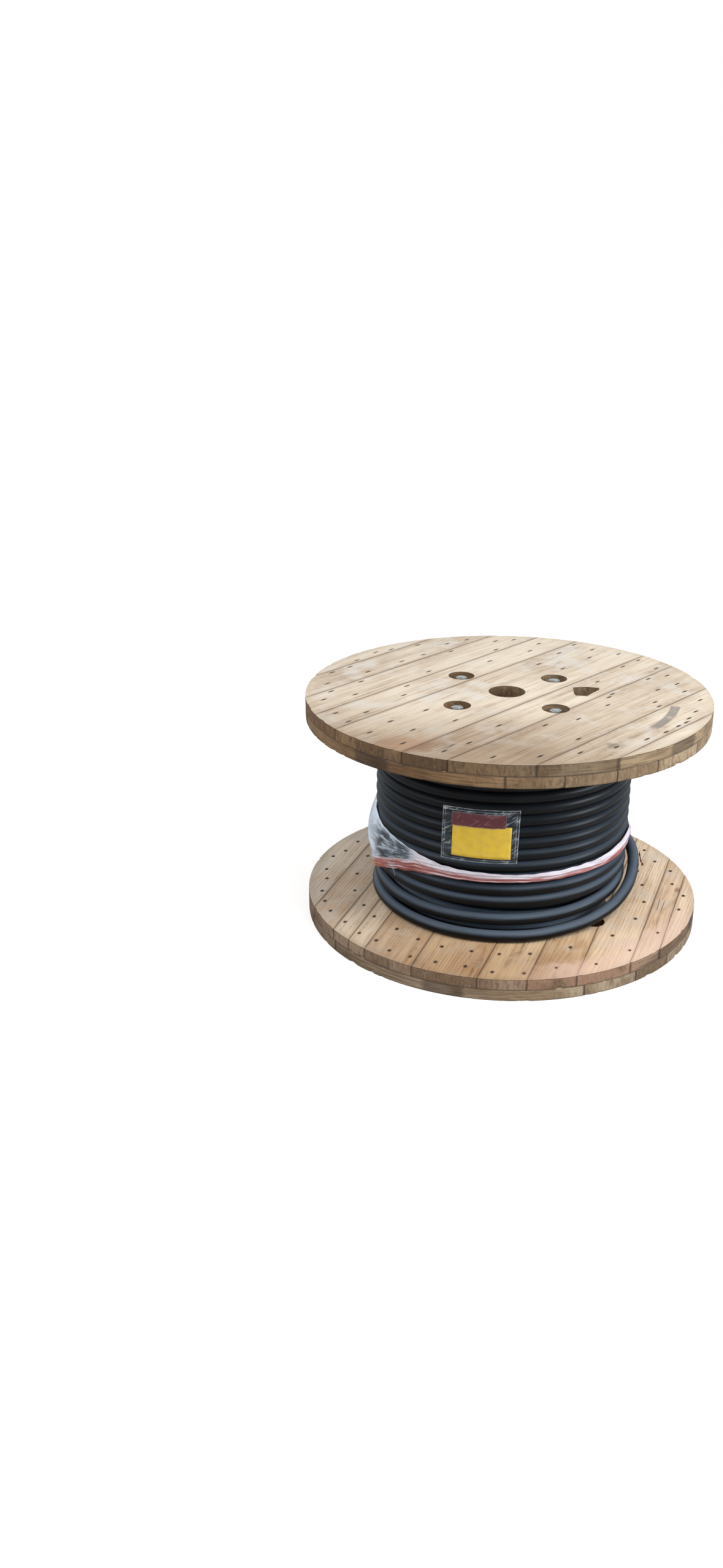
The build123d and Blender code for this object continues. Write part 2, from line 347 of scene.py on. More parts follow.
def top_wear(wood, w):
    """The top face: a rubbed arc at the right, grey smears, a rust stain and a darker front."""
    bearing = w.base.math("ARCTAN2", w.x, w.y * -1)
    arc = ease(abs(w.radius - 0.369), 0.0115, 0.0085)
    arc = arc * ease(bearing, 0.93, 1.0) * ease(bearing, 1.41, 1.38)
    wood = blend(wood, (116, 107, 98), arc * ease(w.patch, 0.2, 0.45) * 0.85)
    smears = ease(away_from(w, 0.195, -0.322, 5), 0.06, 0.02)
    wood = tint(wood, (150, 144, 138), smears * ease(w.patch, 0.5, 0.62) * 0.6)
    rust = ease(away_from(w, -0.2, -0.36) + (w.patch - 0.5) * 0.08, 0.07, 0.02)
    wood = tint(wood, (222, 180, 140), rust * 0.5)
    front = ease(w.y, -0.05, -0.42) * ease(w.x, 0.4, 0.0)
    return tint(wood, (190, 176, 160), front * 0.9)


def floor_side_tones_and_shade(wood, w):
    """The lower flange's upper face: grey to the left, orange brown in front with painted shade over its
    front part, pinkish to the right.
    """
    leftward = ease(w.x, -0.12, -0.36)
    rightward = ease(w.x, 0.12, 0.34)
    wood = tint(wood, (240, 238, 238), leftward)
    wood = tint(wood, (240, 222, 196), (1 - leftward) * (1 - rightward) * 0.8)
    # Painted shade: the front part of the face is darkened
    wood = tint(wood, (206, 198, 190), ease(w.y, -0.24, -0.40) * ease(w.x, 0.3, 0.1) * 0.9)
    wood = tint(wood, (250, 240, 232), rightward * 0.8)
    pink = ease(w.radius + (w.patch - 0.5) * 0.14, 0.365, 0.41)
    pink = pink * ease(w.x, 0.02, 0.16) * ease(w.y, -0.05, -0.2)
    wood = blend(wood, (206, 172, 154), pink * 0.55)
    dark = ease(w.streak * 0.5 + w.patch * 0.5, 0.55, 0.62) * ease(w.x, -0.1, 0.05) * ease(w.x, 0.3, 0.12)
    return tint(wood, (150, 128, 108), dark * 0.35)


def brown_rim(rim, w):
    """The upper flange's rim: browner to the left."""
    return tint(rim, (218, 192, 160), ease(w.x, 0.22, -0.1) * 0.9)


def dark_rim(rim, w):
    """The top ply's rim: browner to the left, and darker in front."""
    front = ease(w.x, -0.36, -0.2) * ease(w.x, 0.3, 0.12)
    return tint(brown_rim(rim, w), (206, 206, 206), front * 0.9)


def grey_rim(rim, w):
    """The lowest ply's rim: darker at the left and at the far right."""
    return tint(rim, (184, 174, 162), ease(abs(w.x - 0.03), 0.05, 0.32) * 0.9)


def red_rim(rim, w):
    """The ply above it: old red paint on its rim, front right, and a darker right side."""
    painted = ease(w.x, 0.04, 0.08) * ease(w.x, 0.33, 0.27) * ease(w.y, 0.0, -0.1)
    rim = blend(rim, (150, 112, 88), painted * ease(w.patch, 0.62, 0.5) * 0.6)
    return tint(rim, (206, 204, 198), ease(w.x, 0.24, 0.36) * 0.9)


# Each ply's wood: its faces' pale, deep and worn tones, and its rim's long grain and end grain
top_face_tones = ((200, 184, 164), (176, 156, 134), (192, 182, 170))
lower_face_tones = ((220, 200, 175), (196, 168, 138), (200, 188, 174))
top_outer_rims = ((148, 124, 94), (158, 136, 108))
top_inner_rims = ((148, 126, 98), (154, 132, 104))
bottom_inner_rims = ((150, 120, 96), (146, 120, 96))
bottom_outer_rims = ((176, 154, 128), (176, 156, 130))


# Boards
class Ply:
    """One layer of boards: its side, record slot, grain, lowest height, nailed face and wood."""

    def __init__(self, side, slot, grain_angle, low, nailed_face, *looks):
        self.prefix, self.slot, self.nailed_face = f"{side}_board", slot, nailed_face
        self.grain = math.radians(grain_angle)
        self.sine, self.cosine = math.sin(self.grain), math.cos(self.grain)
        self.clenched = side.endswith("outer")
        self.into = -1 if nailed_face in (lower_face, drum_height) else 1
        self.material = sawn_wood(f"{side}_wood", grain_angle, low, *looks)

    def nodes(self):
        return sorted(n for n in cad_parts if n.startswith(self.prefix))

    def across(self, point):
        return point[0] * self.sine - point[1] * self.cosine

    def along(self, point):
        return point[0] * self.cosine + point[1] * self.sine

    def place(self, across, along):
        return Vector((across * self.sine + along * self.cosine, -across * self.cosine + along * self.sine))


plies = [
    Ply("bottom_outer", "flange_boards", -14.0, 0.0, 0.0,
        lower_face_tones, 0.5, bottom_outer_rims, no_wear, grey_rim),
    Ply("bottom_inner", "sheltered_boards", 76.0, lower_face - ply_thickness, lower_face,
        lower_face_tones, 0.5, bottom_inner_rims, floor_side_tones_and_shade, red_rim),
    Ply("top_inner", "flange_boards", -36.5, upper_face, upper_face,
        lower_face_tones, 0.4, top_inner_rims, no_wear, brown_rim),
    Ply("top_outer", "weathered_top_boards", 53.5, drum_height - ply_thickness, drum_height,
        top_face_tones, 0.7, top_outer_rims, top_wear, dark_rim),
]
weld_distance = 0.01 * MM
weld_after_wear = 0.06 * MM
edge_bevel = 0.35 * MM
flat_angle, sharp_angle = math.radians(0.6), math.radians(35)
rim_cuts = 5
rim_line = flange_radius - 0.2 * MM
rim_facets = flange_radius - 1.2 * MM
rim_side = flange_radius - 2 * MM
rim_wear_from = flange_radius - 2.5 * MM
seam_margin = 11 * MM
seam_closing = 0.4 * MM
nail_spacing = 19 * MM

# Nails by ring: radius, scatter, the step in degrees where they aren't seen, and the angles that are seen
lower_nail_rings = [
    (340, 5, 14, [-92, -77, -64, -54, -41, -30, -20, -9, 1, 12, 28, 47, 64, 79, 94]),
    (414, 8, 9, [-104, -94, -87, -78, -71, -64, -56, -48, -41, -33, -26, -18, -9, -1, 8, 18, 30, 44, 59,
                 68, 77, 87, 95, 105]),
]
upper_nail_rings = [
    (228, 4, 24, [86, 93]),
    (334, 12, 15, [-60, -47, -35, -12, 27, 78, 83, 98]),
    (408, 14, 9, [-63, -53, -43, -30, -17, -3, 10, 22, 34, 46, 55, 62, 66, 70, 77, 88, 96]),
]


def nail_points(rings, seed):
    """Points of the nails, in plan: the angles that are seen, then the rest of each ring."""
    draw = random.Random(seed)
    points = []
    for radius, spread, step, seen in rings:
        hidden = np.arange(max(seen) + step, min(seen) + 360 - step / 2, step)
        for angle in [*seen, *[a + draw.uniform(-0.2, 0.2) * step for a in hidden]]:
            spot = round_drum(angle, (radius + draw.uniform(-spread, spread)) * MM, 0)
            if all((spot - p).length > nail_spacing for p in points):
                points.append(spot)
    return points


lower_nails = nail_points(lower_nail_rings, 3)
upper_nails = nail_points(upper_nail_rings, 8)


class Dent:
    """A nail's place in a face: rings round its centre, each with half lengths, depth and stain."""

    head = [(9, 6.0, 0, 0), (3.5, 3.2, 0, 0.75), (2.8, 2.6, 1.4, 1), (1.0, 1.0, 1.5, 1)]
    tip = [(17, 4.5, 0, 0), (7.6, 2.1, 0.1, 0.6), (6.6, 1.3, 1.0, 1), (4.0, 0.4, 1.2, 1)]
    points = 12
    room = 1.15


def loop_points(ply, centre, half_long, half_wide):
    """A ring of points in plan round a nail, longer along the grain."""
    for i in range(Dent.points):
        turn = 2 * math.pi * i / Dent.points
        across = ply.across(centre) + half_wide * MM * math.sin(turn)
        yield ply.place(across, ply.along(centre) + half_long * MM * math.cos(turn))


def inside(spots, loops):
    """Which of the spots lie inside the closed loops, counting the edges that a ray crosses."""
    crossed = np.zeros(len(spots), int)
    for (x0, y0), (x1, y1) in loops:
        spans = (y0 > spots[:, 1]) != (y1 > spots[:, 1])
        with np.errstate(divide="ignore", invalid="ignore"):
            at = x0 + (spots[:, 1] - y0) * (x1 - x0) / (y1 - y0)
        crossed += spans & (spots[:, 0] < at)
    return crossed % 2 == 1


def cut_out_face(bm, z):
    """Takes out the level faces at a height, and gives the edges that they leave open."""
    level = [f for f in bm.faces if abs(f.normal.z) > 0.99]
    old = [f for f in level if all(abs(v.co.z - z) < weld_distance for v in f.verts)]
    chosen = set(old)
    border = [e for e in bm.edges if sum(f in chosen for f in e.link_faces) == 1]
    bmesh.ops.delete(bm, geom=old, context="FACES_KEEP_BOUNDARY")
    return border


def whole_nails(ply, nails, dent, loops):
    """The nails whose dents lie wholly on the face inside the loops."""
    reach = [n * Dent.room for n in dent[0][:2]]
    kept = []
    for nail in nails:
        points = [tuple(p) for p in loop_points(ply, nail, *reach)]
        if inside(np.array(points), loops).all():
            kept.append(nail)
    return kept


def fill_outline(bm, flat, triangles, made, loops, flip):
    """Adds the triangles that lie inside the loops."""
    centres = np.array([[sum(flat[i][k] for i in t) / 3 for k in (0, 1)] for t in triangles])
    for triangle, kept in zip(triangles, inside(centres, loops)):
        corners = [made[i] for i in triangle]
        if kept and len(set(corners)) == 3:
            if flip:
                corners.reverse()
            if not bm.faces.get(corners):
                bm.faces.new(corners)


def refill_face(bm, ply, nails, stain):
    """Replaces a board's nailed face by one whose triangles follow its nails' dents."""
    z = ply.nailed_face
    border = cut_out_face(bm, z)
    verts = list(dict.fromkeys(v for e in border for v in e.verts))
    index = {v: i for i, v in enumerate(verts)}
    coords = [v.co.xy for v in verts]
    edges = [(index[e.verts[0]], index[e.verts[1]]) for e in border]
    loops = np.array([[tuple(v.co.xy) for v in e.verts] for e in border])
    dent = Dent.tip if ply.clenched else Dent.head
    kept_nails = whole_nails(ply, nails, dent, loops)
    depths, stains = {}, {}
    for nail in kept_nails:
        for half_long, half_wide, depth, darkness in dent:
            first = len(coords)
            coords += loop_points(ply, nail, half_long, half_wide)
            for i in range(Dent.points):
                edges.append((first + i, first + (i + 1) % Dent.points))
                depths[first + i], stains[first + i] = depth * MM * ply.into, darkness
    flat, _, triangles, sources, _, _ = delaunay_2d_cdt(coords, edges, [], 0, 1e-7, True)
    made = []
    for spot, source in zip(flat, sources):
        first = min(source) if source else None
        if first is not None and first < len(verts):
            made.append(verts[first])
        else:
            made.append(bm.verts.new((spot.x, spot.y, z + depths.get(first, 0))))
            made[-1][stain] = stains.get(first, 0)
    fill_outline(bm, flat, triangles, made, loops, ply.into > 0)
    return kept_nails


def sawn_board(ply, node):
    """A board with a finer rim, closer seams and worn edges, and where its two sides lie."""
    bm = bmesh.new()
    bm.from_mesh(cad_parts[node].data)
    bmesh.ops.remove_doubles(bm, verts=bm.verts, dist=weld_distance)
    bmesh.ops.dissolve_limit(bm, angle_limit=flat_angle, verts=bm.verts, edges=bm.edges)
    rim = [e for e in bm.edges if all(v.co.xy.length > rim_line for v in e.verts)]
    bmesh.ops.subdivide_edges(bm, edges=rim, cuts=rim_cuts, use_grid_fill=True)
    extents = [ply.across(v.co) for v in bm.verts]
    left, right = min(extents), max(extents)
    for v in bm.verts:
        if v.co.xy.length > rim_facets:
            v.co.xy = v.co.xy.normalized() * flange_radius
        across = ply.across(v.co)
        for side, sign in ((left, -1), (right, 1)):
            if abs(across - side) < weld_distance and abs(side) < rim_side:
                v.co.xy = ply.place(across + sign * seam_closing, ply.along(v.co))
    sharp = [e for e in bm.edges if len(e.link_faces) == 2 and e.calc_face_angle() > sharp_angle]
    bmesh.ops.bevel(bm, geom=sharp, offset=edge_bevel, segments=2, profile=0.6, affect="EDGES")
    return bm, left, right


def roughen_rim(bm, low, high):
    """Saw marks and chips on the rim, deeper beside the faces."""
    for v in bm.verts:
        reach = v.co.xy.length
        if reach > rim_wear_from:
            to_edge = min(v.co.z - low.z, high.z - v.co.z)
            near_edge = max(0, 1 - to_edge / (5 * MM))
            rough = noise.fractal(v.co * 190, 1, 2, 3) * 0.35 + 0.25
            chip = max(0, noise.noise(v.co * 48) - 0.25) * 7
            v.co.xy *= 1 - max(0, rough * 0.6 + near_edge * (0.2 + chip)) * MM / reach
    bmesh.ops.remove_doubles(bm, verts=bm.verts, dist=weld_after_wear)


def nails_in_board(ply, nails, left, right):
    """A board's own nails, each moved clear of its seams."""
    mine = []
    for nail in nails:
        if left <= ply.across(nail) < right:
            across = min(max(ply.across(nail), left + seam_margin), right - seam_margin)
            spot = ply.place(across, ply.along(nail))
            if left + seam_margin <= across and all((spot - m).length > nail_spacing for m in mine):
                mine.append(spot)
    return mine


def mesh_from(name, bm):
    """The mesh that a finished bmesh makes, with its faces outward."""
    bmesh.ops.recalc_face_normals(bm, faces=bm.faces)
    mesh = bpy.data.meshes.new(name)
    bm.to_mesh(mesh)
    bm.free()
    return mesh


def smooth(mesh):
    mesh.polygons.foreach_set("use_smooth", [True] * len(mesh.polygons))
    return mesh


def new_piece(name, data, material, slot, *replaced):
    """An object with one material that rides on the drum, in place of the CAD nodes named."""
    data.materials.append(material)
    piece = add_object(name, data)
    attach(piece, "root")
    if replaced:
        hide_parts(*replaced)
    return piece


def worn_board(ply, node, nails):
    """A flange board with a rough sawn rim, worn edges and dents; gives its nails."""
    bm, left, right = sawn_board(ply, node)
    roughen_rim(bm, *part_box(node))
    stain = bm.verts.layers.float.new("stain")
    mine = refill_face(bm, ply, nails_in_board(ply, nails, left, right), stain)
    masks = {"board_seed": random.Random(node).random(), "board_left": left, "board_right": right}
    for name, value in masks.items():
        layer = bm.verts.layers.float.new(name)
        for v in bm.verts:
            v[layer] = value
    name = f"worn_{node}"
    new_piece(name, mesh_from(name, bm), ply.material, ply.slot, node)
    return mine


nails_of_ply = {}
for ply in plies:
    ring = lower_nails if ply.nailed_face <= lower_face else upper_nails
    nails_of_ply[ply.prefix] = [spot for node in ply.nodes() for spot in worn_board(ply, node, ring)]


# Nails: heads in the sheltered faces, and points bent over and hammered flat in the outer ones
def nail_steel():
    base = new_material("nail_steel")
    place = parts_of(base)[0]
    rust = smudge(place, 160.0, 2.0)
    colour = blend((38, 34, 32), (92, 62, 44), ease(rust, 0.45, 0.7))
    return finish_material(base, colour, 0.55 + rust * 0.2, Metallic=0.6)


def scatter_tree(half_length, half_width, half_height, material):
    """A geometry tree that sets a flattened ball on each point, turned roughly to the grain."""
    tree = bpy.data.node_groups.new("scatter", "GeometryNodeTree")
    for name, kind in (("Geometry", "Geometry"), ("Grain", "Float"), ("Seed", "Int")):
        tree.interface.new_socket(name, in_out="INPUT", socket_type=f"NodeSocket{kind}")
    tree.interface.new_socket("Geometry", in_out="OUTPUT", socket_type="NodeSocketGeometry")
    base = Wire(tree)
    points, grain, seed = [base.node("NodeGroupInput", output=i) for i in range(3)]
    ball = base.node("GeometryNodeMeshUVSphere", {}, {"Segments": 10, "Rings": 6, "Radius": 1.0})
    sway = base.node("FunctionNodeRandomValue", {}, {2: -0.16, 3: 0.16, "Seed": seed}, output=1)
    size = base.node("FunctionNodeRandomValue", {}, {2: 0.85, 3: 1.15, "Seed": seed}, output=1)
    scale = vector(size * half_length, size * half_width, size * half_height)
    turn = vector(0.0, 0.0, grain + sway)
    sockets = {"Points": points, "Instance": ball, "Rotation": turn, "Scale": scale}
    made = base.node("GeometryNodeInstanceOnPoints", {}, sockets)
    made = base.node("GeometryNodeRealizeInstances", {}, {"Geometry": made})
    made = base.node("GeometryNodeSetMaterial", {}, {"Geometry": made, "Material": material})
    base.node("NodeGroupOutput", {}, {"Geometry": made})
    return tree


def scatter(name, tree, spots, height, grain, seed):
    """Sets the tree's shape on the spots and keeps the result as a plain mesh."""
    mesh = bpy.data.meshes.new(name)
    mesh.from_pydata([(s.x, s.y, height) for s in spots], [], [])
    holder = add_object(name, mesh)
    modifier = holder.modifiers.new("scatter", "NODES")
    modifier.node_group = tree
    for item in tree.interface.items_tree:
        if item.in_out == "INPUT" and item.name in ("Grain", "Seed"):
            modifier[item.identifier] = grain if item.name == "Grain" else seed
    evaluated = holder.evaluated_get(bpy.context.evaluated_depsgraph_get())
    holder.data = smooth(bpy.data.meshes.new_from_object(evaluated))
    holder.modifiers.clear()
    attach(holder, "root")


steel = nail_steel()
head_tree = scatter_tree(2.7 * MM, 2.7 * MM, 0.7 * MM, steel)
tip_tree = scatter_tree(5.6 * MM, 1.2 * MM, 0.8 * MM, steel)
for seed, ply in enumerate(plies, 11):
    sunk = (0.9 if ply.clenched else 1.4) * MM * ply.into
    tree = tip_tree if ply.clenched else head_tree
    scatter(f"nails_{ply.prefix}", tree, nails_of_ply[ply.prefix], ply.nailed_face + sunk, ply.grain, seed)


# Cable
# The winding's centreline by angle, radius and height. The angle goes on growing, 360 a turn: the last turn
# leaves the pack and sags, the outer layer climbs to the top flange, and the inner layer goes down again.
winding_stations = [
    (-1996, 304.6, 160), (-1986, 304.6, 159.4), (-1976, 304.6, 155), (-1965, 304.5, 145), (-1950, 303, 128),
    (-1935, 298, 109), (-1920, 286, 98), (-1905, 280, 94.5), (-1875, 277, 92.5), (-1845, 276, 93),
    (-1779, 275.2, 100), (-1747, 275.2, 107), (-1620, 275.2, 123), (-1485, 275.2, 137.8), (21, 275.2, 253.8),
    (2901, 275.2, 461.8), (2971, 253, 461.8), (7995, 253, 90), (8025, 253, 63.8), (8348, 253, 63.6),
]
turn_step = 3.75
corner_steps = 5
tube_sides = 14
wound_radius = 12.97 * MM


def along_stations(stations, angles, reach):
    """The stations' radius and height at each angle, with corners rounded over the reach."""
    table = np.array(stations, float)
    window = np.hanning(2 * reach + 1)
    for column in table.T[1:]:
        line = np.pad(np.interp(angles, table[:, 0], column), reach, mode="edge")
        yield np.convolve(line, window / window.sum(), mode="valid")


def wound_path():
    angles = np.arange(winding_stations[0][0], winding_stations[-1][0], turn_step)
    radii, heights = along_stations(winding_stations, angles, corner_steps)
    turns = np.radians(angles)
    # The pack bulges by a little on the left, and each turn lies a little loose
    sway = 2.6 * np.maximum(0, -np.sin(turns)) - 1.2 * np.maximum(0, np.sin(turns))
    sway += [0.9 * wobble(a / 47, 3.1, 0) for a in angles]
    radii = radii + sway * np.clip((angles - angles[0]) / 90, 0, 1)
    path = np.stack([radii * np.sin(turns), -radii * np.cos(turns), heights], axis=1)
    return path * MM


def rings_along(path, radii, sides):
    """Rings of points about a path that runs round the drum, one ring to each of its points."""
    ahead = np.gradient(path, axis=0)
    ahead /= np.linalg.norm(ahead, axis=1)[:, None]
    outward = path * (1, 1, 0)
    outward -= ahead * np.sum(outward * ahead, axis=1)[:, None]
    outward /= np.linalg.norm(outward, axis=1)[:, None]
    beside = np.cross(ahead, outward)
    turns = 2 * math.pi * np.arange(sides) / sides
    ring = np.cos(turns)[None, :, None] * outward[:, None] + np.sin(turns)[None, :, None] * beside[:, None]
    return path[:, None] + ring * np.array(radii, float)[:, None, None]


def tube(name, path, radii, sides=tube_sides):
    """A closed tube along a path that runs round the drum, with the radii along it."""
    path = np.array(path, float)
    bm = bmesh.new()
    rings = [[bm.verts.new(p) for p in ring] for ring in rings_along(path, radii, sides)]
    start, end = bm.verts.new(path[0]), bm.verts.new(path[-1])
    for j in range(sides):
        k = (j + 1) % sides
        for near, far in zip(rings, rings[1:]):
            bm.faces.new((near[j], near[k], far[k], far[j]))
        bm.faces.new((start, rings[0][k], rings[0][j]))
        bm.faces.new((end, rings[-1][j], rings[-1][k]))
    return smooth(mesh_from(name, bm))


def cable_sheath():
    """Black plastic, a little blue, with a pale band on each turn's upper side that is partly dust and partly
    a painted sky highlight, fading towards the top as painted shade under the top flange, and rubbed marks.
    """
    base = new_material("cable_sheath")
    place, x, y, z = parts_of(base)
    normal = base.node("ShaderNodeNewGeometry", output=1)
    upward = base.node("ShaderNodeSeparateXYZ", {}, {0: normal}, output=2)
    cloud = smudge(place, 16.0, 3.0)
    grain = smudge(place, 260.0, 2.0, 0.7)
    streak = stretched(x * 12, y * 12, z * 160)
    colour = blend((4, 5, 6), (9, 11, 14), ease(cloud, 0.35, 0.65))
    # Partly dust and partly painted light: a bluish painted highlight on each turn's upper side, fading out
    # higher up as painted shade under the top flange
    dust_and_painted_light = ease(upward + (streak - 0.5) * 0.5, 0.1, 1.0) * ease(z, 0.44, 0.06)
    colour = blend(colour, (94, 105, 119), dust_and_painted_light * 0.66)
    colour = blend(colour, (120, 118, 112), ease(grain, 0.72, 0.8) * ease(streak, 0.52, 0.66) * 0.35)
    roughness = 0.36 + cloud * 0.06 + dust_and_painted_light * 0.12
    height = grain + streak * 0.3
    return finish_material(base, colour, roughness, height, 0.0002, 0.4, Specular_IOR_Level=0.18)


sheath = cable_sheath()
winding = wound_path()
wound_mesh = tube("wound_turns", winding, [wound_radius] * len(winding))
new_piece("wound_turns", wound_mesh, sheath, "cable_sheath", "wound_cable")

# The last turn, lying loose: from the pack at the back right, down to the flange and round to the back left
loose_route = [
    (165, 304.6, 160), (157.5, 307.2, 159.8), (142, 306.2, 158.2), (124, 305.4, 156), (105, 306, 150),
    (91, 308.5, 136), (77, 307, 112), (63, 302, 90), (49, 293, 75), (35, 288, 66.5), (11, 297, 63.3),
    (-19, 301, 63.3), (-49, 299.5, 63.3), (-79, 296, 63.3), (-109, 295.5, 63.8), (-132, 294, 64.8),
    (-152, 292, 66.3),
]
loose_points = [round_drum(a, r * MM, z * MM) for a, r, z in loose_route]


def loose_curve(name):
    curve = bpy.data.curves.new(name, "CURVE")
    curve.dimensions = "3D"
    spline = curve.splines.new("NURBS")
    spline.points.add(len(loose_points) - 1)
    for point, place in zip(spline.points, loose_points):
        point.co = (*place, 1)
    spline.order_u = 3
    spline.use_endpoint_u = True
    spline.resolution_u = 12
    return curve


def loose_turn():
    curve = loose_curve("loose_turn")
    curve.bevel_depth = cable_radius
    curve.bevel_resolution = 5
    curve.use_fill_caps = True
    return new_piece("loose_turn", curve, sheath, "cable_sheath", "loose_last_turn")


def points_on_loose_turn():
    """The points that the loose turn's own spline gives."""
    bare = add_object("bare_route", loose_curve("bare_route"))
    mesh = bpy.data.meshes.new_from_object(bare.evaluated_get(bpy.context.evaluated_depsgraph_get()))
    points = [np.array(v.co) for v in mesh.vertices]
    bpy.data.objects.remove(bare)
    return points


# The shrunk cap's wall, outwards and round its nose: distance along the cable's end and radius
cap_profile = [
    (-36, 13.1), (-35.6, 14.6), (-34, 15.0), (-20, 14.8), (-8, 15.0), (0, 14.9), (6, 14.2), (12, 14.0),
    (17, 12.9), (19.3, 10.2), (20, 6.0), (20.2, 1.0),
]


def end_cap():
    """A heat-shrunk cap that follows the loose turn's end and closes over it."""
    points = points_on_loose_turn()
    gaps = [np.linalg.norm(b - a) for a, b in zip(points, points[1:])]
    runs = (np.append(0, np.cumsum(gaps)) - sum(gaps)) / MM
    ahead = (points[-1] - points[-2]) / gaps[-1]
    path = []
    for run, _ in cap_profile:
        on_cable = np.array([np.interp(run, runs, [p[k] for p in points]) for k in range(3)])
        path.append(on_cable + ahead * max(0, run) * MM)
    base = new_material("shrunk_cap")
    place = parts_of(base)[0]
    wrinkle = smudge(place, 70.0, 2.0)
    material = finish_material(base, (30, 30, 33), 0.3 + wrinkle * 0.15, wrinkle, 0.0008, 0.5)
    mesh = tube("shrunk_cap", path, [radius * MM for _, radius in cap_profile], 20)
    return new_piece("shrunk_cap", mesh, material, "shrink_cap", "cable_end_cap")


last_turn = loose_turn()
cap = end_cap()
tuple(loose_points[0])


# Thin sheets on the winding
def sheet_side(bm, points, masks, density):
    """One side of a sheet, as rows of vertices that carry their place in it and the film's density."""
    height, width = points.shape[:2]
    grid = [[bm.verts.new(p) for p in row] for row in points]
    for i, row in enumerate(grid):
        for j, vert in enumerate(row):
            values = j / (width - 1), i / (height - 1), density[i][j] if density else 1
            for mask, value in zip(masks, values):
                vert[mask] = value
    return grid


def thin_sheet(name, rows, thickness, density=None):
    """A closed sheet from rows of outer points: its back lies nearer the axis by the thickness."""
    front = np.array(rows, float)
    inward = front * (1, 1, 0)
    inward /= np.linalg.norm(inward, axis=2)[:, :, None]
    bm = bmesh.new()
    masks = [bm.verts.layers.float.new(n) for n in ("sheet_u", "sheet_v", "rope_share")]
    outer, inner = [sheet_side(bm, side, masks, density) for side in (front, front - inward * thickness)]
    height, width = front.shape[:2]
    for i in range(height - 1):
        for j in range(width - 1):
            for side in (outer, inner):
                bm.faces.new((side[i][j], side[i][j + 1], side[i + 1][j + 1], side[i + 1][j]))
    edge = [(0, j) for j in range(width)] + [(i, width - 1) for i in range(1, height)]
    edge += [(height - 1, j) for j in range(width - 2, -1, -1)] + [(i, 0) for i in range(height - 2, 0, -1)]
    for (i, j), (k, m) in zip(edge, edge[1:] + edge[:1]):
        bm.faces.new((outer[i][j], inner[i][j], inner[k][m], outer[k][m]))
    return smooth(mesh_from(name, bm))


# The stretch film, by angle: its lower and upper edge, and how far it stands off the winding
film_stations = [
    (-180, 194, 220, 0), (-150, 162, 228, 2), (-120, 116, 250, 8), (-90, 104, 264, 17), (-75, 114, 252, 13),
    (-66, 134, 242, 8), (-50, 165, 235, 2), (-38, 181, 226, 0), (-26, 188, 216, 0), (-14, 191, 214, 0),
    (4, 194, 212, 0), (20, 194, 214, 0), (34, 197, 216, 0), (50, 196, 219, 0), (62, 199, 225, 0),
    (72, 205, 228, 0), (79, 206, 229, 0), (85, 199, 221, 0), (92, 194, 215, 0), (120, 194, 214, 0),
    (150, 194, 216, 0), (180, 194, 220, 0),
]
film_steps = 320
film_rows = 44
film_thickness = 0.35 * MM
film_lies_at = 290.0
rope_height = 28
rope_part = 0.6
rope_fades_at = -75


def clamp(value):
    return min(1, max(0, value))


def film_lift(angle, rise, where, dense):
    """How far the rope's pleats, or the clear sheet's creases, stand off the film."""
    drift = noise.noise(where) * 0.25
    folds = 0.5 + 0.5 * math.sin(2 * math.pi * (rise / 7.5 + drift * 2 + angle * 0.014))
    fine = wobble(where.x * 2, where.y * 2, rise / 2.6) * 0.5 + 0.5
    pull = wobble(angle / 5 + rise / 20, rise / 45, 4.0)
    return dense * (1.2 + 3.2 * folds + 1.4 * fine) + (1 - dense) * (1.0 + 2.6 * max(0, pull) + 0.8 * fine)


def film_point(v, angle, bottom, top, stand):
    """A point of the film and its density there: a pleated rope, with a clear sheet above it."""
    height = top - bottom
    rope = min(rope_height, height * rope_part)
    if v < rope_part:
        rise = rope * v / rope_part
    else:
        rise = rope + (height - rope) * (v - rope_part) / (1 - rope_part)
    wide = clamp((height - 34) / 30)
    in_rope = 1 - wide * clamp((rise - rope + 3) / 5)
    dense = in_rope * (1 - 0.75 * (clamp((rope_fades_at - angle) / 5) * wide))
    turn = math.radians(angle)
    where = Vector((math.cos(turn) * 4, math.sin(turn) * 4, rise / 30))
    lift = film_lift(angle, rise, where, dense) * min(1, v * 9, (1 - v) * 9)
    swell = 2.4 * max(0, -math.sin(turn)) + stand * math.sin(math.pi * rise / height)
    ragged = wobble(where.x * 3, where.y * 3, 9.0 + round(v)) * 2.2 * abs(2 * v - 1)
    return round_drum(angle, (film_lies_at + swell + lift) * MM, (bottom + rise + ragged) * MM), dense


def film_points():
    """Rows of the film's points, from its lower edge to its upper one, and their density."""
    table = np.array(film_stations, float)
    angles = np.linspace(-180, 180, film_steps)
    low, high, off = [np.interp(angles, table[:, 0], table[:, k]) for k in (1, 2, 3)]
    rows, density = [], []
    for i in range(film_rows):
        made = [film_point(i / (film_rows - 1), *station) for station in zip(angles, low, high, off)]
        row, dense_row = [list(part) for part in zip(*made)]
        row[-1] = row[0].copy()
        rows.append(row)
        density.append(dense_row)
    return rows, density


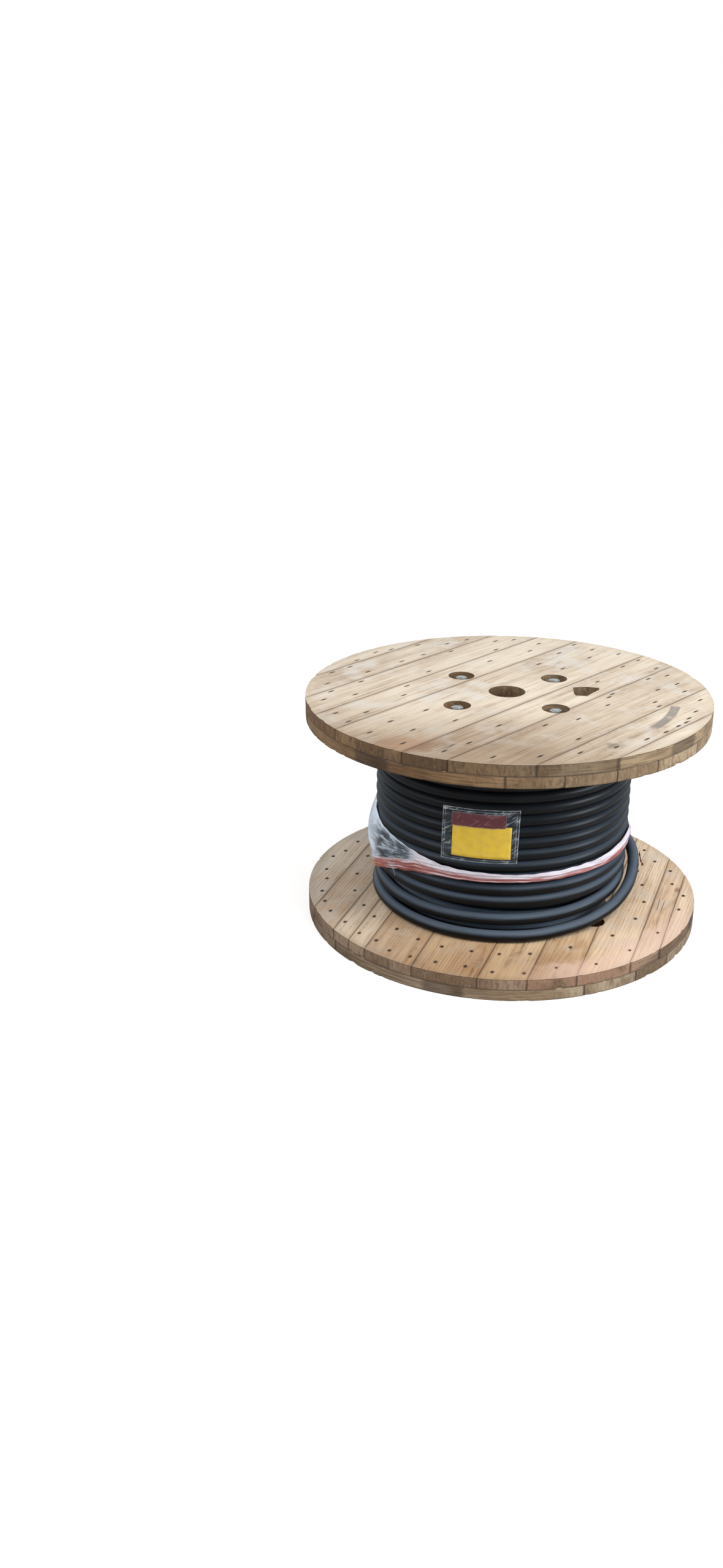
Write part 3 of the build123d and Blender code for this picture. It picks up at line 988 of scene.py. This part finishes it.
def film_material():
    """Clear film with white creases that are partly painted glints and a painted sheen where it turns
    edge-on, and its rope: milky above with painted highlights, with red and pink lines below.
    """
    base = new_material("stretch_film")
    x, y = parts_of(base)[1:3]
    u, v, dense = [mask_of(base, n) for n in ("sheet_u", "sheet_v", "rope_share")]
    bearing = base.math("ARCTAN2", x, y * -1)
    lines = stretched(u * 22, v * 13, 0.0)
    fine = stretched(u * 50, v * 48, 3.0, 3.0, 0.65)
    haze = stretched(u * 34, v * 5, 1.0, 3.0, 0.55)
    colour = blend((208, 196, 202), (172, 112, 106), ease(lines, 0.36, 0.48) * ease(v, 0.72, 0.48))
    red = ease(lines * 0.5 + fine * 0.5, 0.44, 0.54) * ease(v, 0.58, 0.36)
    colour = blend(colour, (140, 62, 50), red * 0.85)
    folded = ease(bearing, -1.0, -1.16) * ease(bearing, -1.36, -1.30) * ease(v, 0.5, 0.3)
    colour = blend(colour, (178, 84, 48), folded * ease(fine, 0.35, 0.5) * 0.85)
    # Partly milky film and partly painted highlights: white over the rope's upper part
    colour = blend(colour, (240, 238, 242), ease(fine, 0.50, 0.62) * ease(v, 0.42, 0.66) * 0.85)
    colour = blend((218, 226, 236), colour, ease(dense, 0.25, 0.7))
    # White creases: partly crumpled film and partly painted glints
    creases = ease(fine, 0.54, 0.66) * 0.5 + ease(lines, 0.53, 0.64) * 0.4
    hem = ease(v, 0.972, 0.985)
    # Painted sheen: extra haze where the sheet turns edge-on to the camera
    edge_on_sheen = ease(bearing, -1.1, -1.35) * ease(bearing, -1.95, -1.5)
    clear = 0.04 + creases * (0.3 + haze) + ease(haze, 0.5, 0.66) * 0.22 + hem * 0.5 + edge_on_sheen * haze
    cover = base.math("MINIMUM", clear + ease(dense, 0.2, 0.75) * 0.85, 0.97)
    return finish_material(base, colour, 0.25 + fine * 0.2, fine + haze, 0.0008, 0.6, Alpha=cover)


film_grid, film_density = film_points()
film_mesh = thin_sheet("wrapped_film", film_grid, film_thickness, film_density)
film = new_piece("wrapped_film", film_mesh, film_material(), "stretch_film", "stretch_film")

# Shreds of film: a white strand that hangs from the rope, and a dark red end behind the loose turn
shred_stations = {
    "film_strand": [(-53.4, 297, 171), (-53.0, 299, 165), (-52.4, 298, 160), (-51.8, 297, 155),
                    (-52.2, 296, 150), (-51.4, 296, 146)],
    "film_tail": [(93, 321.5, 137), (91, 322.5, 134), (89, 323, 131), (87, 324, 129), (85.5, 326.5, 127),
                  (84, 329, 131), (83, 328, 136)],
}
shred_width = {"film_strand": 1.6, "film_tail": 11}
shred_thickness = 0.3 * MM
shred_tones = {"film_strand": (214, 210, 206), "film_tail": (138, 30, 38)}


def film_shred(name):
    """A narrow crumpled strip along its stations."""
    stations = shred_stations[name]
    rows = []
    for side in (-1, -0.3, 0.35, 1):
        row = []
        for i, (angle, radius, z) in enumerate(stations):
            taper = 1 - 0.6 * i / (len(stations) - 1)
            drop = side * shred_width[name] / 2 * taper
            crumple = wobble(angle, z / 9, side * 3) * shred_width[name] / 4
            row.append(round_drum(angle, (radius + crumple) * MM, (z + drop) * MM))
        rows.append(row)
    base = new_material(name)
    crease = smudge(parts_of(base)[0], 300.0, 2.0)
    material = finish_material(base, shred_tones[name], 0.35 + crease * 0.2, crease, 0.0005)
    new_piece(name, thin_sheet(name, rows, shred_thickness), material, "stretch_film")


for name in shred_stations:
    film_shred(name)

# The corners of the pouch and of the card in it, by angle and height
pouch_corners = [(-25.8, 235), (7.0, 239), (7.7, 361), (-25.1, 357)]
card_corners = [(-21.0, 246), (4.2, 248), (4.4, 322), (-20.7, 320)]
pouch_lies_at, pouch_thickness = 290.4, 0.25 * MM
card_lies_at, card_thickness = 291.0, 0.4 * MM


def between(a, b, share):
    return [p + (q - p) * share for p, q in zip(a, b)]


def patch_points(corners, columns, rows, radius_at):
    """Rows of points between four corners on the winding, at the radius that radius_at(u, v) gives."""
    grid = []
    for i in range(rows):
        v = i / (rows - 1)
        row = []
        for j in range(columns):
            u = j / (columns - 1)
            low, high = between(corners[0], corners[1], u), between(corners[3], corners[2], u)
            angle, z = between(low, high, v)
            row.append(round_drum(angle, radius_at(u, v) * MM, z * MM))
        grid.append(row)
    return grid


def pouch_radius(u, v):
    """The pouch film's bulge over the card, its flat welds and its wrinkles."""
    to_edge = min(u, 1 - u, v * 0.75, (1 - v) * 0.75)
    open_part = min(1, max(0, to_edge - 0.02) / 0.07)
    creases = abs(wobble(u * 5 + v * 2, v * 9 - u * 3, 2.0)) * 2.6
    creases += abs(wobble(u * 13 - v * 5, v * 15, 7.0)) * 1.5
    waves = wobble(u * 7, v * 3, 5.0) * 0.9 * (1 - open_part)
    return pouch_lies_at + open_part * (2.6 + creases) + waves + 0.9


def clear_pouch():
    """Clear film with white creases painted as reflections, and welds, and a bare dark red band across its
    top.
    """
    base = new_material("clear_pouch")
    u, v = mask_of(base, "sheet_u"), mask_of(base, "sheet_v")
    crease = stretched((u + v) * 3.5, (u - v) * 24, 2.0, 3.0, 0.55)
    crumple = stretched(u * 5, v * 7, 6.0)
    to_edge = base.math("MINIMUM", base.math("MINIMUM", u, 1 - u) * 1.35, base.math("MINIMUM", v, 1 - v))
    weld = ease(abs(to_edge - 0.05), 0.007, 0.002)
    hem = ease(to_edge + (crumple - 0.5) * 0.012, 0.014, 0.004) + weld * 0.6
    ragged = (crease - 0.5) * 0.02
    band = ease(v + ragged, 0.67, 0.68) * ease(v + ragged, 0.925, 0.915)
    band = band * ease(u + ragged, 0.135, 0.142) * ease(u + ragged, 0.83, 0.823)
    over_card = ease(v, 0.69, 0.67) * ease(v, 0.06, 0.08) * ease(u, 0.13, 0.15) * ease(u, 0.93, 0.91)
    # Painted reflections: white glare along the creases and crumples, weaker over the card
    crease_glare = ease(crease, 0.52, 0.64) * ease(crumple, 0.42, 0.58)
    white = (crease_glare * 0.7 + ease(crumple, 0.56, 0.72) * 0.5) * (1 - over_card * 0.85)
    colour = blend((214, 220, 226), (98, 38, 42), band)
    # The painted reflections also pale the red band
    colour = blend(colour, (176, 140, 144), white * band * 0.5)
    cover = base.math("MINIMUM", 0.02 + white * 0.4 + hem * ease(crumple, 0.3, 0.6) * 0.45 + band * 0.9, 0.97)
    return finish_material(base, colour, 0.22 + crease * 0.15, crease, 0.0012, 0.7, Alpha=cover)


def card_stock():
    base = new_material("yellow_card")
    u, v = mask_of(base, "sheet_u"), mask_of(base, "sheet_v")
    cloud = smudge(vector(u * 1.7, v, 0.0), 4.0, 3.0)
    colour = blend((236, 192, 18), (224, 180, 24), ease(cloud, 0.4, 0.65))
    return finish_material(base, colour, 0.6)


def card_radius(u, v):
    return card_lies_at + 1.1 * math.sin(math.pi * u) * (0.4 + 0.6 * v)


pouch_grid = patch_points(pouch_corners, 72, 54, pouch_radius)
pouch_mesh = thin_sheet("document_sleeve", pouch_grid, pouch_thickness)
new_piece("document_sleeve", pouch_mesh, clear_pouch(), "clear_pouch", "document_pouch")
card_mesh = thin_sheet("bare_card", patch_points(card_corners, 24, 10, card_radius), card_thickness)
new_piece("bare_card", card_mesh, card_stock(), "yellow_paper", "yellow_card")


# Barrel and rods, which keep their CAD shapes
stave_count = 24


def barrel_timber():
    base = new_material("barrel_timber")
    place, x, y, z = parts_of(base)
    bearing = base.math("ARCTAN2", x, y)
    fibre = stretched(x * 150, y * 150, z * 8, 3.0, 0.65)
    cloud = smudge(place, 9.0, 3.0)
    stave = base.math("SINE", base.math("FLOOR", bearing * (stave_count / (2 * math.pi))) * 12.7) * 0.5 + 0.5
    colour = blend((206, 178, 138), (178, 146, 106), ease(cloud * 0.6 + stave * 0.4, 0.3, 0.7))
    colour = tint(colour, (160, 132, 102), ease(fibre, 0.5, 0.72) * 0.6)
    return finish_material(base, colour, 0.78, fibre, 0.0008)


def zinc_plate():
    base = new_material("zinc_plate")
    place = parts_of(base)[0]
    cloud = smudge(place, 40.0, 3.0)
    colour = blend((176, 176, 172), (128, 122, 114), ease(cloud, 0.45, 0.7))
    return finish_material(base, colour, 0.42 + cloud * 0.2, cloud, 0.0003, 0.4, Metallic=0.85)


kept_finishes = {"barrel": barrel_timber(), "tie_rod": zinc_plate()}
for node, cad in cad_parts.items():
    for start, material in kept_finishes.items():
        if node.startswith(start):
            cad.data.materials.clear()
            cad.data.materials.append(material)


# Floor and light
floor_reach = 30.0
floor_drop = 0.3 * MM
lights_aim = Vector((0, 0, 0.25))


def build_floor():
    """A wide pale floor, which glows to the camera alone."""
    base = new_material("floor_white")
    seen = base.node("ShaderNodeLightPath")
    glow = blend((0, 0, 0, 1), (0.68, 0.66, 0.64, 1), seen)
    material = finish_material(base, (0.38, 0.37, 0.36, 1), 0.9, Emission_Color=glow, Emission_Strength=1.0)
    mesh = bpy.data.meshes.new("floor")
    signs = ((-1, -1), (1, -1), (1, 1), (-1, 1))
    mesh.from_pydata([(x * floor_reach, y * floor_reach, -floor_drop) for x, y in signs], [], [(0, 1, 2, 3)])
    mesh.materials.append(material)
    add_object("floor", mesh)


def area_light(name, place, power, size, colour):
    light = bpy.data.lights.new(name, "AREA")
    light.energy, light.size, light.color = power, size, colour
    turn = (lights_aim - Vector(place)).to_track_quat("-Z", "Y")
    add_object(name, light).matrix_world = Matrix.Translation(place) @ turn.to_matrix().to_4x4()


def build_sky():
    """A soft sky that lights the drum, and plain white where the camera sees past it."""
    world = bpy.data.worlds.new("sky")
    world.use_nodes = True
    world.node_tree.nodes.clear()
    base = Wire(world.node_tree)
    seen = base.node("ShaderNodeLightPath")
    lit = base.node("ShaderNodeBackground", {}, {"Color": (0.80, 0.90, 1.0, 1), "Strength": 1.0})
    white = base.node("ShaderNodeBackground", {}, {"Color": (1, 1, 1, 1), "Strength": 1.0})
    both = base.node("ShaderNodeMixShader", {}, {0: seen, 1: lit, 2: white})
    base.node("ShaderNodeOutputWorld", {}, {"Surface": both})
    bpy.context.scene.world = world


build_floor()
build_sky()
area_light("main_light", (1.5, -1.7, 3.4), 90, 1.6, (1.0, 0.94, 0.86))
area_light("left_light", (-2.8, -1.3, 2.6), 42, 1.8, (1.0, 0.97, 0.93))
area_light("right_light", (3.0, -0.9, 1.3), 78, 1.2, (0.82, 0.92, 1.0))
bpy.context.scene.view_settings.view_transform = "Standard"
